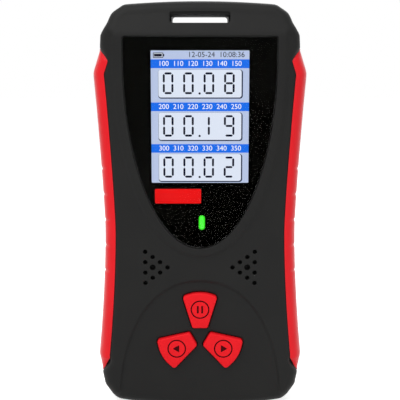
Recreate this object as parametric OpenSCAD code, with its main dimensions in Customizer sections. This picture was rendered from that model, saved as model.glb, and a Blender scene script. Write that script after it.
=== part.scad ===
// Hand-held radiation counter: two-part case with side grips, display window,
// three keys, a counter tube across the top of the board, and a battery bay
// behind a door that slides out at the bottom.
// Upright: +Z towards the lanyard slot, the display faces -Y, X to the right.

/* [Case] */
// Height from the bottom edge to the top edge
case_h = 157.8; // [150:0.2:195]
// Depth from the display rim to the back face
case_d = 32; // [31:0.5:40]
// Width across the upper swell of the side grips
swell_w = 81; // [79:0.5:100]
// Width across the waist
waist_w = 74; // [73:0.5:78]
// Width across the lower swell of the side grips
heel_w = 80.2; // [79:0.5:100]
// Width of the bottom edge between its two corners
foot_w = 66; // [60:0.5:70]
// Wall thickness of both case halves
wall = 2; // [1.6:0.1:2.4]
// Rounding of the case edges, front and back
edge_r = 4; // [3:0.5:4]

/* [Side grips] */
// Thickness of the soft grip over the case
grip_t = 2.4; // [1.6:0.1:2.8]
// Width of the grip band seen from the front
grip_band = 4.6; // [4:0.1:5.2]

/* [Lanyard slot] */
// Width of the slot
slot_w = 22.2; // [12:0.2:28]
// Height of the slot
slot_h = 4.3; // [3.6:0.1:4.4]

/* [Display] */
// Width of the display window cover
lens_w = 57.6; // [54:0.2:60]
// Height of the display window cover
lens_h = 79.8; // [78:0.2:86]
// Thickness of the display window cover
lens_t = 1.2; // [0.8:0.1:1.5]
// Width of the display's picture
screen_w = 36.8; // [30:0.2:40]
// Height of the display's picture
screen_h = 49.6; // [40:0.2:52]
// Height of the raised rim above the front face
rim_h = 1; // [0.6:0.1:1.4]
// Width of the raised rim beside the window cover
rim_w = 4.9; // [3.5:0.1:5.5]

/* [Keys] */
// Height of the middle of the keypad above the bottom edge
keypad_z = 30; // [28:0.5:34]
// Radius of the keypad to the keys' outer edges
keypad_r = 17; // [15:0.5:19]
// Travel of a key
key_travel = 0.6; // [0.3:0.1:0.8]
// Gap between a key and the case
key_gap = 0.35; // [0.25:0.05:0.5]
// Depth of the recess round the keys
recess_d = 0.8; // [0.4:0.1:1]

/* [Sound holes] */
// Diameter of a sound hole
hole_d = 1.7; // [1.2:0.1:2.2]
// Spacing of the sound holes along a column
hole_pitch = 4.1; // [3.6:0.1:4.6]
// Diameter of the buzzer
buzzer_d = 13; // [10:0.5:14]

/* [Counter tube] */
// Diameter of the counter tube
tube_d = 10; // [8:0.5:11]
// Length of the counter tube between its end caps
tube_l = 44; // [36:0.5:47]

/* [Battery bay] */
// Diameter of one cell
cell_d = 14.5; // [13.5:0.1:14.6]
// Length of one cell with its nub
cell_l = 50.5; // [44:0.5:51]
// Length of a fitted contact spring
spring_l = 4.6; // [3.5:0.1:6]
// Thickness of the battery door
door_t = 2.4; // [2:0.1:2.6]

/* [Hidden] */
$fn = 48;
eps = 0.01;
past = 2;

// Depth planes, from the display rim (front) to the back face
front_y = -case_d / 2;
back_y = case_d / 2;
face_y = front_y + rim_h;
recess_y = face_y + recess_d;
cavity_y = recess_y + wall;
tape_t = 0.15;
lens_sink = 0.3;
lens_y = face_y + lens_sink;
tape_y = lens_y + lens_t;
ledge_y = tape_y + tape_t;
gasket_t = 0.5;
glass_t = 1.4;
backlight_t = 1.6;
glass_y = cavity_y + gasket_t;
backlight_y = glass_y + glass_t;
board_y = backlight_y + backlight_t;
board_t = 1.6;
board_back = board_y + board_t;
split_y = 1;
rear_inner_y = back_y - wall;

// Heights of the outline's features
swell_z = case_h - 26.5;
waist_z = 72;
heel_z = 21.5;
top_sag = 1.2;
foot_sag = 2.3;
shoulder_w = 75;
brow_w = 57;
swell_curve = 1.3;
heel_curve = 1.65;

// Side of the case between the two swells
function side_x(z) = z > waist_z
    ? waist_w / 2 + (swell_w - waist_w) / 2 * pow((z - waist_z) / (swell_z - waist_z), swell_curve)
    : waist_w / 2 + (heel_w - waist_w) / 2 * pow((waist_z - z) / (waist_z - heel_z), heel_curve);

// Points of a round corner of radius r at b, between a and c
function corner(a, b, c, r, n = 4) = let (
    u = (a - b) / norm(a - b),
    v = (c - b) / norm(c - b),
    half = acos(u * v) / 2,
    mid = b + (u + v) / norm(u + v) * r / sin(half),
    s = b + u * r / tan(half),
    e = b + v * r / tan(half))
    [for (i = [0:n]) let (p = s + (e - s) * i / n) mid + (p - mid) / norm(p - mid) * r];

// Points of a shallow arc over the half width w, rising by sag, as [x, rise]
function shallow(w, sag, n) = let (r = (w * w + sag * sag) / (2 * sag))
    [for (i = [0:n]) let (x = w * i / n) [x, r - sqrt(r * r - x * x)]];

// Right-hand half of the outline, from the bottom middle up to the top middle
foot = [foot_w / 2, foot_sag];
heel_low = [38, 9.4];
heel_in = [38.1, 14.2];
heel_out = [heel_w / 2 + 0.1, heel_z - 1];
swell_out = [swell_w / 2 + 0.15, swell_z];
shoulder_in = [shoulder_w / 2 + 0.1, case_h - 17.4];
shoulder = [shoulder_w / 2 - 0.2, case_h - 12.4];
brow_low = [32.2, case_h - 3.1];
brow = [brow_w / 2, case_h - top_sag];
side_step = 8;
bend_r = 5;
swell_r = 9;
arc_n = 8;
outline_right = concat(
    [for (p = shallow(foot.x, foot.y, arc_n)) if (p.x < foot.x - bend_r) p],
    corner([0, 0], foot, heel_low, bend_r),
    corner(foot, heel_low, heel_in, bend_r),
    corner(heel_in, heel_out, [side_x(heel_z + 12), heel_z + 12], bend_r),
    [for (z = [heel_z + 7:side_step:swell_z - 8]) [side_x(z), z]],
    corner([side_x(swell_z - 8), swell_z - 8], swell_out, shoulder_in, swell_r),
    corner(swell_out, shoulder_in, shoulder, bend_r),
    corner(shoulder_in, shoulder, brow_low, bend_r),
    corner(shoulder, brow_low, brow, bend_r),
    [for (i = [0:arc_n - 1]) let (q = shallow(brow.x, top_sag, arc_n)[arc_n - 1 - i])
        if (q.x < brow.x - 1) [q.x, case_h - q.y]]);

// Whole outline, anticlockwise seen from the front
outline = concat(outline_right,
    [for (i = [len(outline_right) - 2:-1:1]) [-outline_right[i].x, outline_right[i].y]]);

// Half width of the outline at a height
function edge_x(z) = lookup(z, [for (p = outline_right) if (p.x > brow.x) [p.y, p.x]]);

// Outline moved inwards by d
function inset(pts, d) = [for (i = [0:len(pts) - 1]) let (
    a = pts[(i + len(pts) - 1) % len(pts)],
    b = pts[(i + 1) % len(pts)],
    t = (b - a) / norm(b - a)) pts[i] + d * [-t.y, t.x]];

// Upper half of a superellipse, from +x round to -x, as [x, z]
function arch(a, b, n, steps = 36) = [for (i = [0:steps]) let (t = 180 * i / steps)
    [a * sign(cos(t)) * pow(abs(cos(t)), 2 / n), b * pow(abs(sin(t)), 2 / n)]];

// Display window, hung below the line where its sides turn straight
arch_z = case_h - 22.3;
lens_top = case_h - 13.3;
lens_curve = 2;
rim_curve = 2.1;
lens_drop = lens_h - (lens_top - arch_z);
rim_drop = lens_drop + 4.1;
screen_z = case_h - 43.1;

// Window-shaped outline: straight sides above arch_z, a superellipse below it
function window(half_w, drop, top, n) = concat(
    [[half_w, top], [-half_w, top]],
    [for (p = arch(half_w, drop, n)) [-p.x, arch_z - p.y]]);

// Keypad recess, an arch standing on the bottom edge
recess_w = 64;
recess_h = 52.4;
recess_curve = 2.2;

// Draws a front-view outline as a plate from y0 back to y1
module plate(y0, y1) {
    translate([0, y1, 0]) rotate([90, 0, 0]) linear_extrude(y1 - y0) children();
}

// Round post along Y
module post(x, z, r, y0, y1) {
    translate([x, y1, z]) rotate([90, 0, 0]) cylinder(r = r, h = y1 - y0);
}

// Box given by its two corners
module block(a, b) {
    translate(a) cube(b - a);
}

// Skins a stack of outlines, each level given as [y, inset]
module loft(pts, levels) {
    n = len(pts);
    m = len(levels);
    polyhedron(
        points = [for (l = levels) for (p = inset(pts, l[1])) [p.x, l[0], p.y]],
        faces = concat(
            [[for (i = [n - 1:-1:0]) i]],
            [[for (i = [0:n - 1]) (m - 1) * n + i]],
            [for (k = [0:m - 2]) for (i = [0:n - 1]) let (j = (i + 1) % n)
                [k * n + i, k * n + j, (k + 1) * n + j]],
            [for (k = [0:m - 2]) for (i = [0:n - 1]) let (j = (i + 1) % n)
                [k * n + i, (k + 1) * n + j, (k + 1) * n + i]]));
}

// Outer shape of the closed case with its grips: rounded edges, flat front and back
round_n = 4;
edge_levels = [for (i = [0:round_n]) let (t = 90 * i / round_n)
    [edge_r * (1 - sin(t)), edge_r * (1 - cos(t))]];
body_levels = concat(
    [[face_y - past, edge_r]],
    [for (i = [round_n:-1:0]) [face_y + edge_levels[i][0], edge_levels[i][1]]],
    [for (i = [0:round_n]) [back_y - edge_levels[i][0], edge_levels[i][1]]],
    [[back_y + past, edge_r]]);
slope_z = lens_top + 0.5;
slope_y = 4.4;
slope_rise = 3;

// Takes away what stands in front of the sloping panel above the window
module slope_cut() {
    translate([-swell_w, 0, 0]) rotate([90, 0, 90]) linear_extrude(2 * swell_w)
        polygon([[front_y - past, slope_z], [front_y, slope_z],
                 [front_y + slope_y, case_h], [front_y + slope_y, case_h + past],
                 [front_y - past, case_h + past]]);
}

module body_shape() {
    difference() {
        intersection() {
            loft(outline, body_levels);
            block([-swell_w, face_y, -past], [swell_w, back_y, case_h + past]);
        }
        slope_cut();
    }
}

// Side grips: the band outside band_x, less the core that they wrap round
grip_z0 = heel_in.y + 0.4;
grip_z1 = shoulder_in.y - 0.3;
taper_low = 5.5;
taper_high = 3;
flange_y0 = face_y + grip_t;
flange_y1 = back_y - grip_t;
grip_n = 24;
function band_at(z) = grip_band * min(1, (z - grip_z0) / taper_low, (grip_z1 - z) / taper_high);
grip_zs = concat([grip_z0], [for (i = [0:grip_n])
    grip_z0 + taper_low + (grip_z1 - taper_high - grip_z0 - taper_low) * i / grip_n], [grip_z1]);

module grip_zone() {
    difference() {
        plate(face_y - past, back_y + past) polygon(concat(
            [[swell_w, grip_z1], [swell_w, grip_z0]],
            [for (z = grip_zs) [edge_x(z) - band_at(z), z]]));
        plate(flange_y0, flange_y1) polygon(concat(
            [[0, grip_z1 + past], [0, grip_z0 - past]],
            [[edge_x(grip_z0) - grip_t, grip_z0 - past]],
            [for (z = grip_zs) [edge_x(z) - grip_t, z]],
            [[edge_x(grip_z1) - grip_t, grip_z1 + past]]));
    }
}

// Notches across the outside of each grip
notch_pitch = 10;
notch_count = 5;
notch_z = 55;
notch_w = 1.2;
notch_d = 0.4;

module grip() {
    difference() {
        intersection() {
            body_shape();
            grip_zone();
        }
        for (i = [0:notch_count - 1]) let (z = notch_z + i * notch_pitch)
            block([edge_x(z) - notch_d, flange_y0, z - notch_w / 2],
                  [swell_w, flange_y1, z + notch_w / 2]);
    }
}

module grip_right() color("red") grip();
module grip_left() color("red") mirror([1, 0, 0]) grip();

// Hollow inside the case, clear of the grips all the way up
cavity_in = grip_t + wall + 0.6;
cavity_z0 = 4.4;
cavity_z1 = case_h - 10.4;
cavity_zs = [for (z = [cavity_z0 + 6:side_step:cavity_z1 - 3]) z];
cavity_right = concat([[foot.x - 3, cavity_z0]],
    [for (z = cavity_zs) [edge_x(z) - cavity_in, z]],
    [[brow_low.x - 3, cavity_z1]]);
module cavity(y0, y1) {
    plate(y0, y1) polygon(concat(cavity_right,
        [for (i = [len(cavity_right) - 1:-1:0]) [-cavity_right[i].x, cavity_right[i].y]]));
}

// Lanyard slot, right through the top of the case
slot_z = case_h - 6.1;
slot_r = 1.2;
module slot_cut() {
    block([-slot_w / 2 + slot_r, front_y - past, slot_z - slot_h / 2],
          [slot_w / 2 - slot_r, back_y + past, slot_z + slot_h / 2]);
    block([-slot_w / 2, front_y - past, slot_z - slot_h / 2 + slot_r],
          [slot_w / 2, back_y + past, slot_z + slot_h / 2 - slot_r]);
    for (x = [-1, 1]) for (z = [-1, 1])
        post(x * (slot_w / 2 - slot_r), slot_z + z * (slot_h / 2 - slot_r), slot_r,
             front_y - past, back_y + past);
}

// Screws that close the case, from the back into the front half
screw_r = 1.3;
screw_head_r = 2.4;
screw_head_t = 1.8;
screw_free = 0.05;
screw_seat_y = back_y - 8;
screw_tip_y = face_y + 6;
boss_r = 3;
case_screw_at = [[29.8, 14.5], [-29.8, 14.5], [24, case_h - 7.6], [-24, case_h - 7.6]];

// Screws that hold the board to the front half
board_screw_r = 1;
board_head_r = 1.9;
board_head_t = 1.3;
board_boss_r = 2.5;
board_screw_at = [[26.6, 46.5], [-26.6, 46.5], [26.6, case_h - 20.8], [-26.6, case_h - 20.8]];

// Sound holes: a triangle of holes on each side, pointing inwards
sound_x = 21.1;
sound_z = 57.1;
column_pitch = 2.85;
columns = 4;
big_hole_d = hole_d + 0.6;
mesh_x = sound_x - 1.4 * column_pitch;
mesh_r = 8.3;
mesh_t = 0.3;
function is_middle(k, j) = k == 1 && j == 1;
module sound_cut() {
    for (side = [-1, 1]) for (k = [0:columns - 1]) for (j = [0:columns - 1 - k])
        post(side * (sound_x - k * column_pitch),
             sound_z + (j - (columns - 1 - k) / 2) * hole_pitch,
             (is_middle(k, j) ? big_hole_d : hole_d) / 2, front_y - past, cavity_y + past);
}

// Key outline in its own frame, u away from the keypad's middle, grown by g
key_inner = 2.95;
key_spread = 17;
key_n = 8;
function key_half(u, g) = key_inner + (u - key_inner) * tan(key_spread) + g / cos(key_spread);
function key_outline(g) = let (
    r = keypad_r + g,
    v = key_half(r * cos(asin(key_half(r - 1.4, g) / r)), g),
    a = asin(v / r))
    concat([[-key_half(key_inner - g, g), key_inner - g], [key_half(key_inner - g, g), key_inner - g]],
        [for (i = [0:key_n]) let (t = a - 2 * a * i / key_n) [r * sin(t), r * cos(t)]]);
key_turns = [0, -120, 120];
switch_u = 10.5;

// Moves a key-frame shape to one of the three keys
module at_key(turn) {
    translate([0, 0, keypad_z]) rotate([0, -turn, 0]) children();
}
key_top = face_y - 0.7;
flange_gap = 0.15;
key_flange_t = 0.9;
key_flange = 0.8;
switch_t = 1.6;
switch_w = 6;
switch_y = board_y - switch_t;
plunger_r = 1.7;
plunger_free = 0.06;
flange_back = cavity_y + flange_gap + key_flange_t;
plunger_y0 = flange_back;
plunger_y1 = board_y - 0.25 - key_travel;

// Indicator beside the middle line, below the display
led_x = 0.7;
led_z = case_h - 83.4;
pipe_w = 2.4;
pipe_h = 5.8;
pipe_free = 0.1;
module pipe_outline(g) {
    square([pipe_w + 2 * g, pipe_h - pipe_w], center = true);
    for (s = [-1, 1]) translate([0, s * (pipe_h - pipe_w) / 2]) circle(pipe_w / 2 + g);
}
module at_led() {
    translate([led_x, led_z]) children();
}

lens_gap = 0.12;
aperture = 1.4;
module screen_outline(g) {
    translate([-screen_w / 2 - g, screen_z - screen_h / 2 - g])
        square([screen_w + 2 * g, screen_h + 2 * g]);
}

module front_case() {
    color("dimgray") {
        difference() {
            union() {
                intersection() {
                    body_shape();
                    block([-swell_w, face_y - past, -past], [swell_w, split_y, case_h + past]);
                }
                // Raised rim round the window, running up into the sloping panel
                difference() {
                    plate(front_y, face_y + eps) polygon(
                        window(lens_w / 2 + rim_w, rim_drop, slope_z + slope_rise, rim_curve));
                    slope_cut();
                }
            }
            grip_zone();
            mirror([1, 0, 0]) grip_zone();
            cavity(cavity_y, split_y + past);
            slot_cut();
            plate(front_y - past, ledge_y)
                polygon(window(lens_w / 2 + lens_gap, lens_drop + lens_gap, lens_top + lens_gap,
                               lens_curve));
            plate(ledge_y - past, cavity_y + past) screen_outline(aperture);
            plate(ledge_y - past, cavity_y + past) at_led() pipe_outline(pipe_free);
            plate(front_y - past, recess_y) polygon(concat(
                [for (p = arch(recess_w / 2, recess_h, recess_curve)) p],
                [[-recess_w / 2, -past], [recess_w / 2, -past]]));
            for (t = key_turns) at_key(t) plate(face_y - past, cavity_y + past)
                polygon(key_outline(key_gap));
            sound_cut();
            for (p = case_screw_at)
                post(p.x, p.y, screw_r + screw_free, screw_tip_y - 1, split_y + past);
        }
        for (p = case_screw_at) if (p.y < cavity_z1) difference() {
            post(p.x, p.y, boss_r, cavity_y - eps, split_y);
            post(p.x, p.y, screw_r + screw_free, screw_tip_y - 1, split_y + past);
        }
        for (p = board_screw_at) difference() {
            post(p.x, p.y, board_boss_r, cavity_y - eps, board_y);
            post(p.x, p.y, board_screw_r + screw_free, cavity_y + 0.4, board_y + past);
        }
    }
}

// Battery bay: three cells side by side, upright, on a floor behind the board
bay_wall = 1.5;
cell_gap = 0.4;
cell_seat = 0.3;
floor_y = board_back + 4.1;
cell_y = floor_y + cell_seat + cell_d / 2;
cell_pitch = cell_d + cell_gap;
bay_half = cell_pitch + cell_d / 2 + 0.45;
contact_t = 0.5;
contact_gap = 0.1;
bay_z0 = 7;
bay_z1 = bay_z0 + contact_t + 2 * contact_gap + cell_l + spring_l;
bay_side = 3.6;

// Door and the grooves that it slides in
door_gap = 0.2;
door_half = bay_half + 1.4;
door_z1 = bay_z1 + 1.6;
tongue_w = 1.2;
tongue_t = 1;
tongue_y = back_y - door_t + 0.2;
door_travel = bay_z1;

module door_blank(g) {
    block([-door_half - g, back_y - door_t - g, -past], [door_half + g, back_y + past, door_z1 + g]);
    block([-door_half - tongue_w - g, tongue_y - g, -past],
          [door_half + tongue_w + g, tongue_y + tongue_t + g, door_z1 + g]);
}

// Ribs inside the door, between the cells, from z0 up
rib_w = 1.2;
rib_y = cell_y + cell_d / 2 + 0.5;
rib_end = 3;
module door_ribs(g, z0) {
    for (s = [-1, 1]) block([s * cell_pitch / 2 - rib_w / 2 - g, rib_y - g, z0],
                            [s * cell_pitch / 2 + rib_w / 2 + g, back_y - door_t + eps,
                             bay_z1 - rib_end + g]);
}

module rear_case() {
    color("dimgray") difference() {
        union() {
            difference() {
                intersection() {
                    body_shape();
                    block([-swell_w, split_y, -past], [swell_w, back_y + past, case_h + past]);
                }
                cavity(split_y - past, rear_inner_y);
            }
            // Bay box, from its floor to the back wall
            block([-bay_half - bay_side, floor_y - bay_wall, cavity_z0],
                  [bay_half + bay_side, rear_inner_y + eps, bay_z1 + 3.2]);
            for (p = case_screw_at) if (p.y < cavity_z1)
                post(p.x, p.y, boss_r + 0.8, split_y, rear_inner_y + eps);
        }
        grip_zone();
        mirror([1, 0, 0]) grip_zone();
        slot_cut();
        block([-bay_half, floor_y, bay_z0], [bay_half, back_y + past, bay_z1]);
        door_blank(door_gap);
        door_ribs(door_gap, -past);
        for (p = case_screw_at) {
            post(p.x, p.y, screw_r + 0.15, split_y - past, screw_seat_y + past);
            post(p.x, p.y, screw_head_r + 0.3, screw_seat_y, back_y + past);
        }
        // Ways for the contact tabs through the bay floor
        for (i = [0:2]) for (e = [0, 1]) let (x = (i - 1) * cell_pitch)
            block([x - tab_w / 2 - 0.2, floor_y - bay_wall - past, e == 0 ? bay_z0 : bay_z1 - tab_t - 0.3],
                  [x + tab_w / 2 + 0.2, floor_y + past, e == 0 ? bay_z0 + tab_t + 0.3 : bay_z1]);
    }
}

thumb_n = 6;
thumb_pitch = 2;
thumb_half = 9;
thumb_d = 0.5;
thumb_down = 16;
module battery_door() {
    color("dimgray") difference() {
        union() {
            intersection() {
                body_shape();
                door_blank(0);
            }
            door_ribs(0, bay_z0 + rib_end);
        }
        // Thumb grooves
        for (i = [0:thumb_n - 1]) let (z = door_z1 - thumb_down + i * thumb_pitch)
            block([-thumb_half, back_y - thumb_d, z], [thumb_half, back_y + past, z + thumb_pitch / 2]);
    }
}

module display_lens() {
    color([0.03, 0.03, 0.03]) plate(lens_y, tape_y)
        polygon(window(lens_w / 2, lens_drop, lens_top, lens_curve));
}

tape_in = 0.4;
module lens_tape() {
    color("gray") plate(tape_y, ledge_y) difference() {
        polygon(window(lens_w / 2 - tape_in, lens_drop - tape_in, lens_top - tape_in, lens_curve));
        screen_outline(aperture);
        at_led() pipe_outline(0.6);
    }
}

glass_side = 2.9;
glass_top = 2.6;
glass_foot = 5.4;
gasket_side = 2.4;
module glass_outline(g) {
    translate([-screen_w / 2 - glass_side - g, screen_z - screen_h / 2 - glass_foot - g])
        square([screen_w + 2 * (glass_side + g), screen_h + glass_top + glass_foot + 2 * g]);
}
module lcd_gasket() {
    color("black") plate(cavity_y, glass_y) difference() {
        glass_outline(0);
        screen_outline(aperture);
    }
}
module lcd_panel() color("lightsteelblue") plate(glass_y, backlight_y) glass_outline(0);
module lcd_backlight() color("white") plate(backlight_y, board_y) glass_outline(0);

flex_w = 14;
flex_t = 0.15;
flex_drop = 4;
module lcd_flex() {
    z = screen_z - screen_h / 2 - glass_foot;
    color("orange") {
        block([-flex_w / 2, backlight_y - flex_t, z - flex_drop], [flex_w / 2, backlight_y, z]);
        block([-flex_w / 2, backlight_y, z - flex_drop], [flex_w / 2, board_y, z - flex_drop + flex_t]);
    }
}

led_t = 0.8;
module light_pipe() color("palegreen") plate(ledge_y - 0.05, board_y - led_t) at_led() pipe_outline(0);
module status_led() color("lime") block([led_x - 0.8, board_y - led_t, led_z - 1.6],
                                        [led_x + 0.8, board_y, led_z + 1.6]);

board_half = 29.6;
board_foot = 25;
board_z0 = 19.5;
board_z1 = case_h - 12.2;
module main_board() {
    color("green") difference() {
        union() {
            block([-board_half, board_y, board_z0], [board_half, board_back, board_z1]);
            block([-board_foot, board_y, cavity_z0 + 1], [board_foot, board_back, board_z0 + eps]);
        }
        for (p = board_screw_at) post(p.x, p.y, board_screw_r + 0.1, board_y - past, board_back + past);
    }
}

module chip(x, z, w, h, t) {
    block([x - w / 2, board_back, z - h / 2], [x + w / 2, board_back + t, z + h / 2]);
}
processor_at = [-12, 84];
processor_w = 10;
processor_t = 1.4;
driver_at = [10, 82];
driver_w = 5;
driver_h = 4.4;
driver_t = 1.6;
module processor() {
    color([0.15, 0.15, 0.15]) chip(processor_at.x, processor_at.y, processor_w, processor_w, processor_t);
}
module driver_chip() {
    color([0.15, 0.15, 0.15]) chip(driver_at.x, driver_at.y, driver_w, driver_h, driver_t);
}

// Counter tube across the board in two spring clips, near the top
tube_z = case_h - 27.8;
tube_y = board_back + tube_d / 2 + 1.2;
cap_l = 3.2;
cap_r = tube_d / 2 - 0.8;
clip_t = 0.6;
clip_free = 0.05;
clip_w = 4;
clip_x = tube_l / 2 - 5;
module along_x(x0, x1, r) {
    translate([x0, tube_y, tube_z]) rotate([0, 90, 0]) cylinder(r = r, h = x1 - x0);
}
module counter_tube() color("silver") along_x(-tube_l / 2, tube_l / 2, tube_d / 2);
module tube_cap_anode() {
    color("black") difference() {
        along_x(tube_l / 2, tube_l / 2 + cap_l, cap_r);
        along_x(tube_l / 2 + cap_l - 1, tube_l / 2 + cap_l + past, lead_r);
    }
}
module tube_cap_cathode() color("black") along_x(-tube_l / 2 - cap_l, -tube_l / 2, cap_r);

module tube_clip(x) {
    color("silver") difference() {
        union() {
            along_x(x - clip_w / 2, x + clip_w / 2, tube_d / 2 + clip_t);
            block([x - clip_w / 2, board_back, tube_z - 3], [x + clip_w / 2, tube_y, tube_z + 3]);
        }
        along_x(x - clip_w, x + clip_w, tube_d / 2 + clip_free);
        // Mouth of the clip, away from the board
        block([x - clip_w, tube_y + tube_d / 4, tube_z - tube_d], [x + clip_w, back_y, tube_z + tube_d]);
    }
}
module tube_clip_right() tube_clip(clip_x);
module tube_clip_left() tube_clip(-clip_x);

lead_r = 0.35;
lead_out = 1.6;
module tube_lead() {
    x = tube_l / 2 + cap_l + lead_out;
    color("red") {
        along_x(x - lead_out - 1, x + lead_r, lead_r);
        post(x, tube_z, lead_r, board_back, tube_y);
    }
}

// High-voltage supply: a transformer on its carrier, a capacitor, and a shield over the rest
coil_half = 5.5;
coil_z0 = 96;
coil_h = 12;
coil_d = 8.5;
carrier_half = 7;
carrier_t = 1.2;
module hv_transformer() {
    color("goldenrod") {
        block([-carrier_half, board_back, coil_z0], [carrier_half, board_back + carrier_t, coil_z0 + coil_h]);
        block([-coil_half, board_back + carrier_t, coil_z0], [coil_half, board_back + coil_d, coil_z0 + coil_h]);
    }
}
can_at = [18, 92];
can_r = 4.2;
can_h = 14;
module hv_capacitor() {
    color("royalblue") translate([can_at.x, board_back + can_r, can_at.y]) cylinder(r = can_r, h = can_h);
}
shield_x0 = -25;
shield_x1 = -11;
shield_z0 = 92;
shield_z1 = 112;
shield_d = 5;
shield_t = 0.4;
module hv_shield() {
    color("silver") difference() {
        block([shield_x0, board_back, shield_z0], [shield_x1, board_back + shield_d, shield_z1]);
        block([shield_x0 + shield_t, board_back - past, shield_z0 + shield_t],
              [shield_x1 - shield_t, board_back + shield_d - shield_t, shield_z1 - shield_t]);
    }
}

// Keys: a cap in the case's opening, a flange behind the wall
ring_r = 3.4;
ring_w = 0.35;
mark_d = 0.25;
module key(turn) {
    color("red") at_key(turn) difference() {
        union() {
            plate(key_top, cavity_y + flange_gap + eps) polygon(key_outline(0));
            plate(cavity_y + flange_gap, flange_back) polygon(key_outline(key_flange));
        }
        // Ring engraved round the key's mark
        difference() {
            post(0, switch_u, ring_r + ring_w / 2, key_top - past, key_top + mark_d);
            post(0, switch_u, ring_r - ring_w / 2, key_top - 2 * past, key_top + past);
        }
    }
}
module key_hold() key(key_turns[0]);
module key_left() key(key_turns[2]);
module key_right() key(key_turns[1]);

module switch_body(turn) {
    color("black") at_key(turn) difference() {
        block([-switch_w / 2, switch_y, switch_u - switch_w / 2],
              [switch_w / 2, board_y, switch_u + switch_w / 2]);
        post(0, switch_u, plunger_r + plunger_free, switch_y - past, board_y - 0.2);
    }
}
module switch_hold() switch_body(key_turns[0]);
module switch_left() switch_body(key_turns[2]);
module switch_right() switch_body(key_turns[1]);

module plunger(turn) color("white") at_key(turn) post(0, switch_u, plunger_r, plunger_y0, plunger_y1);
module plunger_hold() plunger(key_turns[0]);
module plunger_left() plunger(key_turns[2]);
module plunger_right() plunger(key_turns[1]);

module buzzer() {
    color("black") difference() {
        post(-mesh_x, sound_z, buzzer_d / 2, cavity_y + mesh_t, board_y);
        post(-mesh_x, sound_z, 1, cavity_y, cavity_y + mesh_t + 1);
    }
}
module dust_mesh(side) color("gray") post(side * mesh_x, sound_z, mesh_r, cavity_y, cavity_y + mesh_t);
module dust_mesh_left() dust_mesh(-1);
module dust_mesh_right() dust_mesh(1);

// Cells stand head up, head down, head up
nub_r = 2.7;
nub_h = 1.3;
function head_up(i) = i != 2;
module at_cell(i) {
    translate([(i - 2) * cell_pitch, cell_y, head_up(i) ? bay_z1 : bay_z0])
        mirror([0, 0, head_up(i) ? 1 : 0]) children();
}
module battery_cell(i) {
    color("lightslategray") at_cell(i) {
        translate([0, 0, contact_t + contact_gap]) cylinder(r = nub_r, h = nub_h + eps);
        translate([0, 0, contact_t + contact_gap + nub_h]) cylinder(r = cell_d / 2, h = cell_l - nub_h);
    }
}
module battery_cell_1() battery_cell(1);
module battery_cell_2() battery_cell(2);
module battery_cell_3() battery_cell(3);

tab_w = 3;
tab_t = 0.5;
contact_half = 5;
module battery_contact(i) {
    color("silver") at_cell(i) {
        block([-contact_half, -cell_d / 2 + 1, 0], [contact_half, contact_half, contact_t]);
        block([-tab_w / 2, board_back - cell_y, 0], [tab_w / 2, -cell_d / 2 + 1, tab_t]);
    }
}
module battery_contact_1() battery_contact(1);
module battery_contact_2() battery_contact(2);
module battery_contact_3() battery_contact(3);

// Contact spring: a coil on a base plate with a tab to the board
wire_r = 0.4;
coil_r0 = 4.6;
coil_r1 = 2.6;
coil_turns = 3;
ring_sides = 8;
rings_per_turn = 16;
module coil(h) {
    m = coil_turns * rings_per_turn;
    points = [for (k = [0:m]) let (
        f = k / m,
        a = 360 * coil_turns * f,
        r = coil_r0 + (coil_r1 - coil_r0) * f,
        z = wire_r + (h - 2 * wire_r) * f)
        for (s = [0:ring_sides - 1]) let (b = 360 * s / ring_sides)
            [(r + wire_r * cos(b)) * cos(a), (r + wire_r * cos(b)) * sin(a), z + wire_r * sin(b)]];
    polyhedron(points = points, faces = concat(
        [[for (s = [ring_sides - 1:-1:0]) s]],
        [[for (s = [0:ring_sides - 1]) m * ring_sides + s]],
        [for (k = [0:m - 1]) for (s = [0:ring_sides - 1]) let (t = (s + 1) % ring_sides)
            [k * ring_sides + s, (k + 1) * ring_sides + t, (k + 1) * ring_sides + s]],
        [for (k = [0:m - 1]) for (s = [0:ring_sides - 1]) let (t = (s + 1) % ring_sides)
            [k * ring_sides + s, k * ring_sides + t, (k + 1) * ring_sides + t]]));
}
module battery_spring(i) {
    color("silver") translate([(i - 2) * cell_pitch, cell_y, head_up(i) ? bay_z0 : bay_z1])
        mirror([0, 0, head_up(i) ? 0 : 1]) {
            block([-contact_half - 1, -cell_d / 2 + 1, 0], [contact_half + 1, contact_half + 1, contact_t]);
            block([-tab_w / 2, board_back - cell_y, 0], [tab_w / 2, -cell_d / 2 + 1, tab_t]);
            translate([0, 0, contact_t - wire_r / 2]) coil(spring_l - contact_t + wire_r / 2);
        }
}
module battery_spring_1() battery_spring(1);
module battery_spring_2() battery_spring(2);
module battery_spring_3() battery_spring(3);

// Screw along Y: its head's seat at y_seat, its tip at y_tip, driven from behind
module screw(x, z, r, head_r, head_t, y_tip, y_seat) {
    difference() {
        union() {
            post(x, z, r, y_tip, y_seat + eps);
            post(x, z, head_r, y_seat, y_seat + head_t);
        }
        for (turn = [0, 90]) translate([x, y_seat + head_t, z]) rotate([0, turn, 0])
            block([-head_r * 0.6, -head_t / 2, -head_r / 8], [head_r * 0.6, past, head_r / 8]);
    }
}
module case_screws() {
    color("silver") for (p = case_screw_at)
        screw(p.x, p.y, screw_r, screw_head_r, screw_head_t, screw_tip_y, screw_seat_y);
}
module board_screws() {
    color("silver") for (p = board_screw_at)
        screw(p.x, p.y, board_screw_r, board_head_r, board_head_t, cavity_y + 0.6, board_back);
}

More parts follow.
